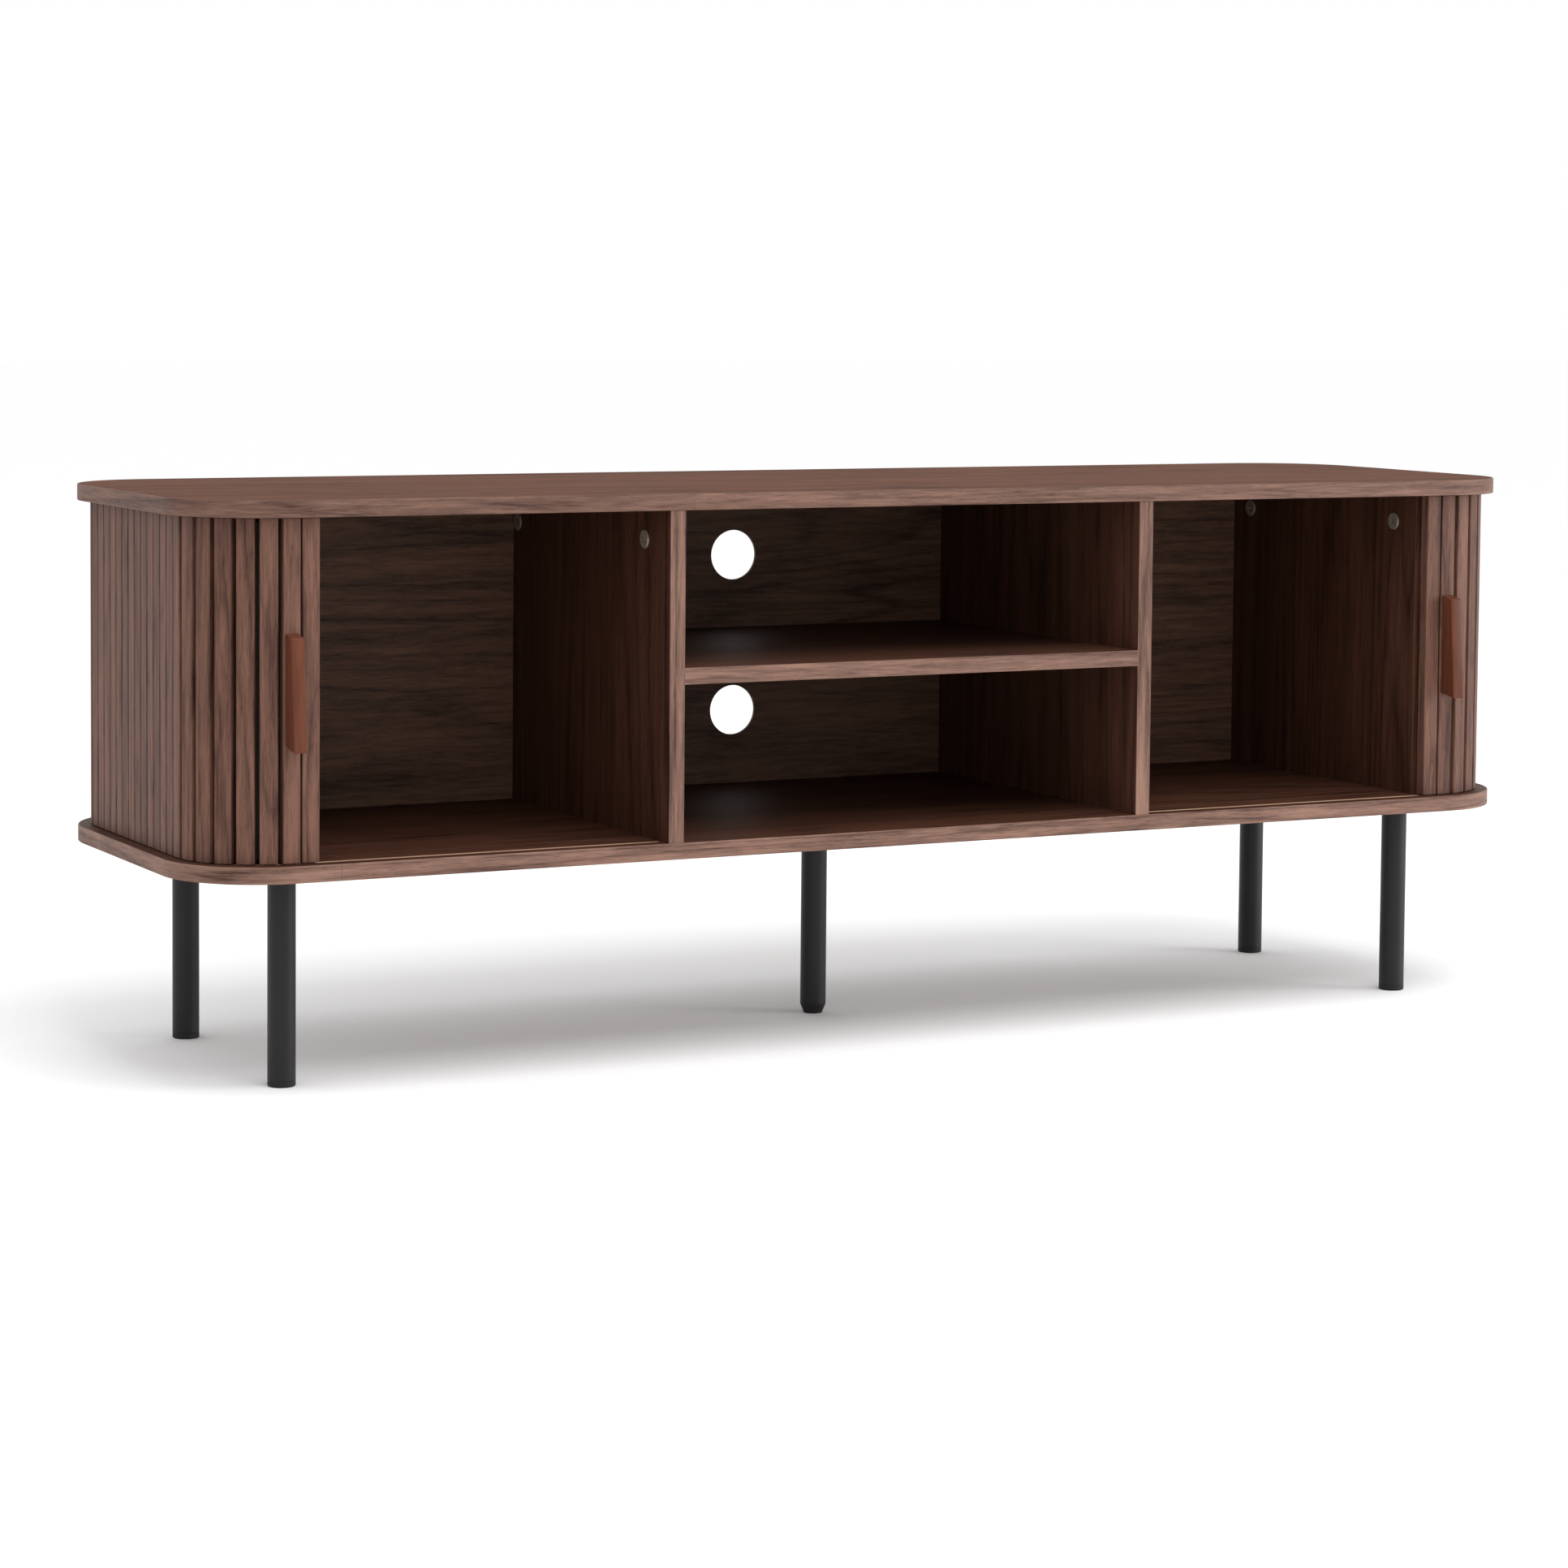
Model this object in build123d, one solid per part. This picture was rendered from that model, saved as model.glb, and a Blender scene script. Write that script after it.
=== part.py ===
"""Media cabinet with two tambour doors that run round the front and rear corners.

Millimetres, +Z up.  The origin is on the floor under the middle of the cabinet,
the front faces -Y and the cabinet is longest along X.
"""
from build123d import *
import os
from math import cos, degrees, pi, sin

# ---- driving dimensions -------------------------------------------------------------
WIDTH = 1400.0             # over the top and bottom panels
CORNER_RADIUS = 90.0       # of both panels, in plan
BOARD = 15.0               # thickness of every panel, divider and shelf
LEG_HEIGHT = 190.0         # floor to the underside of the bottom panel
INNER_HEIGHT = 300.0       # between the bottom and top panels
BAND = 1.0                 # thickness of the edge band
BAND_ARRIS = 0.8
SEAM_GAP = 0.3             # between the two ends of an edge band
BOTTOM_SEAM_X = -569.0     # on the front
TOP_SEAM_X = 300.0         # on the rear
RULE_Y = -154.0            # fine line cut across a side bay's floor
RULE_WIDTH = 2.0
RULE_DEPTH = 1.0

PITCH = 17.5               # one slat and one gap, along the canvas
SLAT_WIDTH = 15.8
SLAT_THICK = 11.0
CORNER_SLATS = 6           # pitches round one corner
SIDE_SLATS = 13            # pitches along the side, between the corners
TONGUE = (10.0, 4.0, 5.0)  # width, thickness and height of a slat's guide tongue
SLAT_END_GAP = 1.0         # between a slat's shoulder and the panel
GROOVE_WIDTH = 7.4
GROOVE_DEPTH = 6.0
GROOVE_START = 2.0         # from a divider's outer face to the groove
SLAT_ROUND = 1.0

BAY_HALF = 240.0           # half the width of the centre bay
SIDE_BOARD_X = 582.0       # inner face of the board that closes a side bay
SIDE_BOARD_FRONT = -175.0
SIDE_BOARD_REAR = 168.0
SHELF_Z = 348.0            # underside of the centre shelf
BACK_THICK = 3.0
CENTRE_BACK_Y = 180.0      # front face of the centre back panel
SIDE_BACK_Y = 149.0        # front face of the side bays' back panels
BACK_GROOVE = 4.0          # how far a back panel goes into the boards round it
CABLE_HOLE_RADIUS = 25.0
CABLE_HOLE_Z = (279.0, 436.0)

LEG_X = 596.0
LEG_Y = 128.0
LEG_RADIUS = 12.5
LEG_WALL = 1.5
PLATE_SIZE = 60.0
PLATE_THICK = 3.0
PLATE_HOLE = 21.0          # from the leg's axis to a screw, along X and Y
GLIDE_HEIGHT = 5.0
GLIDE_CHAMFER = 1.0
PLUG_HEIGHT = 12.0         # of a glide, up inside its tube
PLATE_CORNER = 6.0
LEG_SCREW_RADIUS = 2.0
LEG_SCREW_LENGTH = 11.0
LEG_SCREW_HEAD = (4.0, 2.0)  # radius and thickness, under the plate
FOOT_HEIGHT = 9.0
FOOT_RADIUS = 9.0          # of the levelling foot, where it meets the floor
INSERT_HEIGHT = 14.0
STUD_RADIUS = 4.0
STUD_LENGTH = 24.0
RUNNING_GAP = 0.05         # round the stud

CAM_RADIUS = 7.5
CAM_DEPTH = 12.5
CAM_SETBACK = 28.5         # from the end of a board to the cam's axis
DOWEL_RADIUS = 4.0
DOWEL_LENGTH = 30.0
DOWEL_IN_PANEL = 10.0
CAM_RIM_RADIUS = 8.5
CAM_RIM_CHAMFER = 0.5
CAM_PROUD = 1.5
CAM_SLOT = (9.0, 1.6, 3.0)  # length, width and depth of the cross slot
CAM_BOLT_RADIUS = 3.5
CAM_BOLT_THREAD = 2.5
CAM_BOLT_IN_PANEL = 10.0
SCREW_RADIUS = 2.5
SCREW_HEAD_RADIUS = 5.0
SCREW_HEAD_THICK = 3.0
SCREW_IN_BOARD = 35.0

HANDLE_Z = (303.0, 405.0)
HANDLE_WIDTH = 12.4
HANDLE_REACH = (22.0, 14.5)  # at the bottom and near the top
HANDLE_UNDERCUT = 4.0      # rise of the underside towards the slat
HANDLE_TOP_SLOPE = 3.5     # fall of the top towards the front
HANDLE_ROUND = 2.0
HANDLE_STATION = 0         # the slat that carries it, in pitches past the front corner
HANDLE_SCREW_Z = (330.0, 378.0)
HANDLE_SCREW_RADIUS = 2.0
HANDLE_SCREW_HEAD = (3.5, 1.8)  # radius and thickness, behind the slat
HANDLE_SCREW_BITE = 9.0

# ---- sizes that follow --------------------------------------------------------------
TRACK_RADIUS = CORNER_SLATS * PITCH * 2 / pi
SIDE_RUN = SIDE_SLATS * PITCH
DEPTH = SIDE_RUN + 2 * CORNER_RADIUS
HALF_WIDTH = WIDTH / 2
HALF_DEPTH = DEPTH / 2
CORNER_X = HALF_WIDTH - CORNER_RADIUS
CORNER_Y = HALF_DEPTH - CORNER_RADIUS
TRACK_Y = CORNER_Y + TRACK_RADIUS
CORNER_RUN = CORNER_SLATS * PITCH
FLOOR_Z = LEG_HEIGHT + BOARD
CEILING_Z = FLOOR_Z + INNER_HEIGHT
DIVIDER_X = BAY_HALF + BOARD / 2
SIDE_BOARD_MID = SIDE_BOARD_X + BOARD / 2
SHELF_MID_Z = SHELF_Z + BOARD / 2
DIVIDER_HALF_DEPTH = HALF_DEPTH - BAND
TUBE_BORE = LEG_RADIUS - LEG_WALL

# Where the fixings sit along Y in each kind of board.
DIVIDER_CAM_Y = (-149.0, 138.0)
SIDE_CAM_Y = (-138.0, 118.0)
SHELF_CAM_Y = (-140.0, 118.0)
DOWEL_Y = (-70.0, 70.0)
DIVIDER_SCREW_Y = (-130.0, 130.0)
SIDE_SCREW_Y = (-30.0, 30.0)
SHELF_DOWEL_Y = (-90.0, 70.0)

SIDES = {"left": -1, "right": 1}


# ---- small helpers ------------------------------------------------------------------
def block(low, high):
    """A box between two corners."""
    size = [b - a for a, b in zip(low, high)]
    return Pos(*low) * Box(*size, align=(Align.MIN, Align.MIN, Align.MIN))


def rod(x, y, z, radius, length, direction=(0, 0, 1)):
    """A cylinder that starts at a point and runs along a direction."""
    start = Plane(origin=(x, y, z), z_dir=direction)
    bottom_centred = (Align.CENTER, Align.CENTER, Align.MIN)
    return start * Cylinder(radius, length, align=bottom_centred)


def mirrored(x_low, x_high, side):
    """An X span on the right, or its mirror image on the left, in rising order."""
    return sorted((side * x_low, side * x_high))


def save(shapes, name):
    """Write one node, made of one solid or of a group of separate solids."""
    solids = []
    for shape in shapes if isinstance(shapes, list) else [shapes]:
        solids += shape.solids()
    node = solids[0] if len(solids) == 1 else Compound(children=solids)
    node.label = name
    export_step(node, f"parts/{name}.step")


def panel_outline(inset):
    """The panels' plan outline, set in by a distance all round."""
    return RectangleRounded(WIDTH - 2 * inset, DEPTH - 2 * inset, CORNER_RADIUS - inset)


# ---- the track ----------------------------------------------------------------------
def track_station(distance):
    """Point on the right-hand canvas line and the outward direction in degrees.

    Distance is measured along the canvas from the start of the front corner:
    negative along the front, then round the corner, back along the side, round
    the rear corner and along the rear.
    """
    if distance < 0:
        return CORNER_X + distance, -TRACK_Y, -90.0
    if distance < CORNER_RUN:
        turn = distance / TRACK_RADIUS
        x = CORNER_X + TRACK_RADIUS * sin(turn)
        y = -CORNER_Y - TRACK_RADIUS * cos(turn)
        return x, y, degrees(turn) - 90.0
    distance -= CORNER_RUN
    if distance < SIDE_RUN:
        return CORNER_X + TRACK_RADIUS, distance - CORNER_Y, 0.0
    distance -= SIDE_RUN
    if distance < CORNER_RUN:
        turn = distance / TRACK_RADIUS
        x = CORNER_X + TRACK_RADIUS * cos(turn)
        y = CORNER_Y + TRACK_RADIUS * sin(turn)
        return x, y, degrees(turn)
    distance -= CORNER_RUN
    return CORNER_X - distance, TRACK_Y, 90.0


def groove(side, bottom_z):
    """The groove that guides a door's tongues, from divider round the side to divider."""
    start_x = BAY_HALF + BOARD + GROOVE_START
    middle = SLAT_THICK / 2
    outer = track_band(start_x, middle + GROOVE_WIDTH / 2)
    inner = track_band(start_x - 1, middle - GROOVE_WIDTH / 2)
    cut = Pos(0, 0, bottom_z) * extrude(outer - inner, GROOVE_DEPTH)
    return cut if side > 0 else mirror(cut, Plane.YZ)


def track_band(start_x, offset):
    """The area inside the track line moved outward by an offset, right of a start."""
    radius = TRACK_RADIUS + offset
    half_y = CORNER_Y + radius
    right_x = CORNER_X + radius
    centre = Pos((start_x + right_x) / 2, 0)
    area = centre * Rectangle(right_x - start_x, 2 * half_y)
    corners = area.vertices().sort_by(Axis.X)[-2:]
    return fillet(corners, radius)


# ---- carcass panels -----------------------------------------------------------------
def grooved_panel(low_z, groove_z, back_slot_z):
    """A panel's core with the door grooves and the slots for the back panels."""
    core = Pos(0, 0, low_z) * extrude(panel_outline(BAND), BOARD)
    for side in SIDES.values():
        core -= groove(side, groove_z)
        x_low, x_high = mirrored(BAY_HALF + BOARD, SIDE_BOARD_X, side)
        slot_low = (x_low, SIDE_BACK_Y, back_slot_z)
        slot_high = (x_high, SIDE_BACK_Y + BACK_THICK, back_slot_z + BACK_GROOVE)
        core -= block(slot_low, slot_high)
    slot_low = (-BAY_HALF, CENTRE_BACK_Y, back_slot_z)
    slot_high = (BAY_HALF, CENTRE_BACK_Y + BACK_THICK, back_slot_z + BACK_GROOVE)
    return core - block(slot_low, slot_high)


def board_fixings(y_divider, y_side):
    """Plan positions of a kind of fixing in both dividers and both side boards."""
    places = [(side * DIVIDER_X, y) for side in SIDES.values() for y in y_divider]
    places += [(side * SIDE_BOARD_MID, y) for side in SIDES.values() for y in y_side]
    return places


def top_panel():
    core = grooved_panel(CEILING_Z, CEILING_Z, CEILING_Z)
    for x, y in board_fixings(DIVIDER_CAM_Y, SIDE_CAM_Y):
        core -= rod(x, y, CEILING_Z, CAM_BOLT_THREAD, CAM_BOLT_IN_PANEL)
    for x, y in board_fixings(DOWEL_Y, DOWEL_Y):
        core -= rod(x, y, CEILING_Z, DOWEL_RADIUS, DOWEL_IN_PANEL)
    return core


def bottom_panel():
    core = grooved_panel(LEG_HEIGHT, FLOOR_Z - GROOVE_DEPTH, FLOOR_Z - BACK_GROOVE)
    for side in SIDES.values():
        x_low, x_high = mirrored(BAY_HALF + BOARD, SIDE_BOARD_X, side)
        low = (x_low, RULE_Y, FLOOR_Z - RULE_DEPTH)
        core -= block(low, (x_high, RULE_Y + RULE_WIDTH, FLOOR_Z))
    for x, y in board_fixings(DIVIDER_SCREW_Y, SIDE_SCREW_Y):
        core -= rod(x, y, LEG_HEIGHT, SCREW_RADIUS, BOARD)
        core -= rod(x, y, LEG_HEIGHT, SCREW_HEAD_RADIUS, SCREW_HEAD_THICK)
    for x, y in board_fixings(DOWEL_Y, DOWEL_Y):
        core -= rod(x, y, FLOOR_Z - DOWEL_IN_PANEL, DOWEL_RADIUS, DOWEL_IN_PANEL)
    for x, y in leg_screw_places():
        core -= rod(x, y, LEG_HEIGHT, LEG_SCREW_RADIUS, LEG_SCREW_LENGTH)
    return core


def edge_band(low_z, seam_x, seam_side):
    """A strip glued round a panel's core, with its two ends meeting at a seam."""
    ring = extrude(panel_outline(0) - panel_outline(BAND), BOARD)
    outer_edges = []
    for rim in (ring.faces().sort_by(Axis.Z)[0], ring.faces().sort_by(Axis.Z)[-1]):
        outer_edges += rim.outer_wire().edges()
    ring = fillet(outer_edges, BAND_ARRIS)
    seam_y = seam_side * HALF_DEPTH
    seam = Pos(seam_x, seam_y, BOARD / 2) * Box(SEAM_GAP, 4 * BAND, 2 * BOARD)
    return Pos(0, 0, low_z) * (ring - seam)


def upright(x_inner, y_front, y_rear, cam_y, side, cam_face):
    """A divider or side board, bored for its fixings and slotted for a back panel."""
    x_low, x_high = mirrored(x_inner, x_inner + BOARD, side)
    board = block((x_low, y_front, FLOOR_Z), (x_high, y_rear, CEILING_Z))
    x_mid = side * (x_inner + BOARD / 2)
    cam_z = CEILING_Z - CAM_SETBACK
    for y in cam_y:
        board -= rod(cam_face, y, cam_z, CAM_RADIUS, CAM_DEPTH, into_board(cam_face, x_mid))
        board -= rod(x_mid, y, cam_z, CAM_BOLT_RADIUS, CAM_SETBACK)
    for y in DOWEL_Y:
        board -= rod(x_mid, y, FLOOR_Z, DOWEL_RADIUS, DOWEL_LENGTH - DOWEL_IN_PANEL)
        top_start = CEILING_Z - DOWEL_LENGTH + DOWEL_IN_PANEL
        board -= rod(x_mid, y, top_start, DOWEL_RADIUS, DOWEL_LENGTH - DOWEL_IN_PANEL)
    return board


def into_board(face_x, middle_x):
    """Direction from a board's face towards its middle."""
    return (1, 0, 0) if middle_x > face_x else (-1, 0, 0)


def divider(side):
    """An upright between the centre bay and a side bay."""
    face = side * (BAY_HALF + BOARD)
    depth = DIVIDER_HALF_DEPTH
    board = upright(BAY_HALF, -depth, depth, DIVIDER_CAM_Y, side, face)
    for y, x_low, x_high in (
        (CENTRE_BACK_Y, BAY_HALF, BAY_HALF + BACK_GROOVE),
        (SIDE_BACK_Y, BAY_HALF + BOARD - BACK_GROOVE, BAY_HALF + BOARD),
    ):
        x_low, x_high = mirrored(x_low, x_high, side)
        board -= block((x_low, y, FLOOR_Z), (x_high, y + BACK_THICK, CEILING_Z))
    for y in DIVIDER_SCREW_Y:
        board -= rod(side * DIVIDER_X, y, FLOOR_Z, SCREW_RADIUS, SCREW_IN_BOARD)
    outward = (side, 0, 0)
    for y in SHELF_CAM_Y:
        board -= rod(side * BAY_HALF, y, SHELF_MID_Z, CAM_BOLT_THREAD, CAM_BOLT_IN_PANEL, outward)
    for y in SHELF_DOWEL_Y:
        board -= rod(side * BAY_HALF, y, SHELF_MID_Z, DOWEL_RADIUS, DOWEL_IN_PANEL, outward)
    return board


def side_board(side):
    """The board that closes the outer end of a side bay, inside the door."""
    face = side * SIDE_BOARD_X
    board = upright(SIDE_BOARD_X, SIDE_BOARD_FRONT, SIDE_BOARD_REAR, SIDE_CAM_Y, side, face)
    x_low, x_high = mirrored(SIDE_BOARD_X, SIDE_BOARD_X + BACK_GROOVE, side)
    slot_high = (x_high, SIDE_BACK_Y + BACK_THICK, CEILING_Z)
    board -= block((x_low, SIDE_BACK_Y, FLOOR_Z), slot_high)
    for y in SIDE_SCREW_Y:
        board -= rod(side * SIDE_BOARD_MID, y, FLOOR_Z, SCREW_RADIUS, SCREW_IN_BOARD)
    return board


def centre_shelf():
    low = (-BAY_HALF, -DIVIDER_HALF_DEPTH, SHELF_Z)
    shelf = block(low, (BAY_HALF, CENTRE_BACK_Y, SHELF_Z + BOARD))
    for side in SIDES.values():
        inward = (-side, 0, 0)
        for y in SHELF_CAM_Y:
            cam_x = side * (BAY_HALF - CAM_SETBACK)
            shelf -= rod(cam_x, y, SHELF_Z, CAM_RADIUS, CAM_DEPTH)
            end_x = side * BAY_HALF
            shelf -= rod(end_x, y, SHELF_MID_Z, CAM_BOLT_RADIUS, CAM_SETBACK, inward)
        for y in SHELF_DOWEL_Y:
            depth = DOWEL_LENGTH - DOWEL_IN_PANEL
            shelf -= rod(side * BAY_HALF, y, SHELF_MID_Z, DOWEL_RADIUS, depth, inward)
    return shelf


def centre_back_panel():
    reach = BAY_HALF + BACK_GROOVE
    low = (-reach, CENTRE_BACK_Y, FLOOR_Z - BACK_GROOVE)
    panel = block(low, (reach, CENTRE_BACK_Y + BACK_THICK, CEILING_Z + BACK_GROOVE))
    panel -= notch_blocks(reach)
    for z in CABLE_HOLE_Z:
        panel -= rod(0, CENTRE_BACK_Y, z, CABLE_HOLE_RADIUS, BACK_THICK, (0, 1, 0))
    return panel


def notch_blocks(reach):
    """The corners cut off the centre back panel, where only one slot takes it."""
    cuts = []
    for side in SIDES.values():
        x_low, x_high = mirrored(BAY_HALF, reach, side)
        for z in (FLOOR_Z - BACK_GROOVE, CEILING_Z):
            high = (x_high, CENTRE_BACK_Y + BACK_THICK, z + BACK_GROOVE)
            cuts.append(block((x_low, CENTRE_BACK_Y, z), high))
    return cuts


def side_back_panel(side):
    """A side bay's back, slotted into both uprights and both panels."""
    x_low, x_high = mirrored(BAY_HALF + BOARD, SIDE_BOARD_X, side)
    rear = SIDE_BACK_Y + BACK_THICK
    low = (x_low, SIDE_BACK_Y, FLOOR_Z - BACK_GROOVE)
    panel = block(low, (x_high, rear, CEILING_Z + BACK_GROOVE))
    low = (x_low - BACK_GROOVE, SIDE_BACK_Y, FLOOR_Z)
    return panel + block(low, (x_high + BACK_GROOVE, rear, CEILING_Z))


# ---- fixings ------------------------------------------------------------------------

def cam_disc(x, y, z, direction):
    """A cam lock: a drum in the board, a rim on its face and a cross slot."""
    drum = Cylinder(CAM_RADIUS, CAM_DEPTH, align=(Align.CENTER, Align.CENTER, Align.MIN))
    rim = Cylinder(CAM_RIM_RADIUS, CAM_PROUD, align=(Align.CENTER, Align.CENTER, Align.MAX))
    disc = drum + chamfer(rim.faces().sort_by(Axis.Z)[0].edges(), CAM_RIM_CHAMFER)
    for angle in (45, 135):
        disc -= Rot(0, 0, angle) * Pos(0, 0, -CAM_PROUD) * Box(*CAM_SLOT)
    return Plane(origin=(x, y, z), z_dir=direction) * disc


def cam_discs():
    cam_z = CEILING_Z - CAM_SETBACK
    discs = []
    for side in SIDES.values():
        face = side * (BAY_HALF + BOARD)
        discs += [cam_disc(face, y, cam_z, (-side, 0, 0)) for y in DIVIDER_CAM_Y]
        face = side * SIDE_BOARD_X
        discs += [cam_disc(face, y, cam_z, (side, 0, 0)) for y in SIDE_CAM_Y]
        shelf_x = side * (BAY_HALF - CAM_SETBACK)
        discs += [cam_disc(shelf_x, y, SHELF_Z, (0, 0, 1)) for y in SHELF_CAM_Y]
    return discs


def cam_bolt(x, y, z, direction):
    """A bolt screwed into one board, with its shank reaching the cam in the next."""
    shank_length = CAM_SETBACK - CAM_RADIUS
    up = (Align.CENTER, Align.CENTER, Align.MIN)
    down = (Align.CENTER, Align.CENTER, Align.MAX)
    bolt = Cylinder(CAM_BOLT_THREAD, CAM_BOLT_IN_PANEL, align=up)
    bolt += Cylinder(CAM_BOLT_RADIUS, shank_length, align=down)
    return Plane(origin=(x, y, z), z_dir=direction) * bolt


def cam_bolts():
    bolts = [cam_bolt(x, y, CEILING_Z, (0, 0, 1))
             for x, y in board_fixings(DIVIDER_CAM_Y, SIDE_CAM_Y)]
    for side in SIDES.values():
        for y in SHELF_CAM_Y:
            bolts.append(cam_bolt(side * BAY_HALF, y, SHELF_MID_Z, (side, 0, 0)))
    return bolts


def wood_dowels():
    dowels = []
    for x, y in board_fixings(DOWEL_Y, DOWEL_Y):
        dowels.append(rod(x, y, FLOOR_Z - DOWEL_IN_PANEL, DOWEL_RADIUS, DOWEL_LENGTH))
        top_start = CEILING_Z + DOWEL_IN_PANEL - DOWEL_LENGTH
        dowels.append(rod(x, y, top_start, DOWEL_RADIUS, DOWEL_LENGTH))
    for side in SIDES.values():
        for y in SHELF_DOWEL_Y:
            outer_x = side * (BAY_HALF + DOWEL_IN_PANEL)
            dowels.append(rod(outer_x, y, SHELF_MID_Z, DOWEL_RADIUS, DOWEL_LENGTH, (-side, 0, 0)))
    return dowels


def board_screws():
    """Screws from under the bottom panel up into the dividers and side boards."""
    screws = []
    for x, y in board_fixings(DIVIDER_SCREW_Y, SIDE_SCREW_Y):
        screw = rod(x, y, LEG_HEIGHT, SCREW_RADIUS, BOARD + SCREW_IN_BOARD)
        screws.append(screw + rod(x, y, LEG_HEIGHT, SCREW_HEAD_RADIUS, SCREW_HEAD_THICK))
    return screws


# ---- legs ---------------------------------------------------------------------------
LEGS = {
    "leg_front_left": (-LEG_X, -LEG_Y),
    "leg_front_right": (LEG_X, -LEG_Y),
    "leg_rear_left": (-LEG_X, LEG_Y),
    "leg_rear_right": (LEG_X, LEG_Y),
    "leg_centre": (0.0, 0.0),
}


def leg_screw_places():
    """Plan positions of the four screws in each leg's plate."""
    offsets = [(a, b) for a in (-PLATE_HOLE, PLATE_HOLE) for b in (-PLATE_HOLE, PLATE_HOLE)]
    return [(x + a, y + b) for x, y in LEGS.values() for a, b in offsets]


def leg(x, y, foot_height):
    """A round tube welded under a square mounting plate."""
    tube_length = LEG_HEIGHT - PLATE_THICK - foot_height
    tube = rod(x, y, foot_height, LEG_RADIUS, tube_length)
    tube -= rod(x, y, foot_height, TUBE_BORE, tube_length)
    plate = extrude(RectangleRounded(PLATE_SIZE, PLATE_SIZE, PLATE_CORNER), PLATE_THICK)
    plate = Pos(x, y, LEG_HEIGHT - PLATE_THICK) * plate
    for a in (-PLATE_HOLE, PLATE_HOLE):
        for b in (-PLATE_HOLE, PLATE_HOLE):
            plate -= rod(x + a, y + b, LEG_HEIGHT - PLATE_THICK, LEG_SCREW_RADIUS, PLATE_THICK)
    return tube + plate


def leg_screws():
    screws = []
    head_radius, head_thick = LEG_SCREW_HEAD
    under_plate = LEG_HEIGHT - PLATE_THICK
    for x, y in leg_screw_places():
        screw = rod(x, y, under_plate, LEG_SCREW_RADIUS, PLATE_THICK + LEG_SCREW_LENGTH)
        screws.append(screw + rod(x, y, under_plate - head_thick, head_radius, head_thick))
    return screws


def glide(x, y):
    """A plastic end cap: a bevelled pad with a plug inside the tube."""
    pad = rod(x, y, 0, LEG_RADIUS, GLIDE_HEIGHT)
    pad = chamfer(pad.faces().sort_by(Axis.Z)[0].edges(), GLIDE_CHAMFER)
    return pad + rod(x, y, GLIDE_HEIGHT, TUBE_BORE, PLUG_HEIGHT)


def centre_insert():
    """The threaded plug in the centre leg's lower end."""
    plug = rod(0, 0, FOOT_HEIGHT, TUBE_BORE, INSERT_HEIGHT)
    return plug - rod(0, 0, FOOT_HEIGHT, STUD_RADIUS + RUNNING_GAP, INSERT_HEIGHT)


def centre_foot():
    """A tapered levelling foot with its stud up in the threaded plug."""
    pad = Pos(0, 0, FOOT_HEIGHT / 2) * Cone(FOOT_RADIUS, LEG_RADIUS, FOOT_HEIGHT)
    return pad + rod(0, 0, FOOT_HEIGHT, STUD_RADIUS, STUD_LENGTH)


# ---- doors --------------------------------------------------------------------------
# Stations, counted in pitches past the start of the front corner, of the slats that
# leave or enter a corner while the door travels, and of the groups between them.
DOOR_NODES = (
    ("slat_01_lead", (-1,)),
    ("slat_02", (0,)),
    ("slat_03", (1,)),
    ("slat_04", (2,)),
    ("slats_05_to_08", range(3, 7)),
    ("slat_09", (7,)),
    ("slat_10", (8,)),
    ("slats_11_to_21", range(9, 20)),
    ("slat_22", (20,)),
    ("slat_23", (21,)),
    ("slats_24_to_27", range(22, 26)),
    ("slat_28", (26,)),
    ("slat_29", (27,)),
    ("slats_30_to_45", range(28, 44)),
)


def slat():
    """One slat with its back on the canvas line and its face towards +Y."""
    low_z = FLOOR_Z + SLAT_END_GAP
    high_z = CEILING_Z - SLAT_END_GAP
    half = SLAT_WIDTH / 2
    bar = block((-half, 0, low_z), (half, SLAT_THICK, high_z))
    face_edges = bar.edges().filter_by(Axis.Z).sort_by(Axis.Y)[-2:]
    bar = fillet(face_edges, SLAT_ROUND)
    width, thick, height = TONGUE
    middle = SLAT_THICK / 2
    low = (-width / 2, middle - thick / 2, low_z - height)
    return bar + block(low, (width / 2, middle + thick / 2, high_z + height))


def place(shape, station, side):
    """Put a shape made in the slat's frame at a station of one door's track."""
    x, y, outward = track_station(station * PITCH)
    placed = Pos(x, y, 0) * Rot(0, 0, outward - 90.0) * shape
    return placed if side > 0 else mirror(placed, Plane.YZ)


def handle():
    """A wedge that reaches further out at its bottom, with a sloping top."""
    low_z, high_z = HANDLE_Z
    low_reach, high_reach = HANDLE_REACH
    face = SLAT_THICK
    slope_z = high_z - HANDLE_TOP_SLOPE
    outline = Polyline(
        (face, low_z + HANDLE_UNDERCUT),
        (face + low_reach, low_z),
        (face + high_reach, slope_z),
        (face, high_z),
        close=True,
    )
    area = Plane.YZ * make_face(outline)
    bar = extrude(area, HANDLE_WIDTH / 2, both=True)
    front_edges = bar.edges().filter_by(Axis.X).sort_by(Axis.Y)[-2:]
    bar = fillet(front_edges, HANDLE_ROUND)
    for z in HANDLE_SCREW_Z:
        bar -= rod(0, face, z, HANDLE_SCREW_RADIUS, HANDLE_SCREW_BITE, (0, 1, 0))
    return bar


def handle_screws():
    """Two screws from behind the slat, their heads flat on the slat's back."""
    head_radius, head_thick = HANDLE_SCREW_HEAD
    length = SLAT_THICK + HANDLE_SCREW_BITE
    screws = []
    for z in HANDLE_SCREW_Z:
        screw = rod(0, 0, z, HANDLE_SCREW_RADIUS, length, (0, 1, 0))
        screws.append(screw + rod(0, -head_thick, z, head_radius, head_thick, (0, 1, 0)))
    return screws


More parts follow.
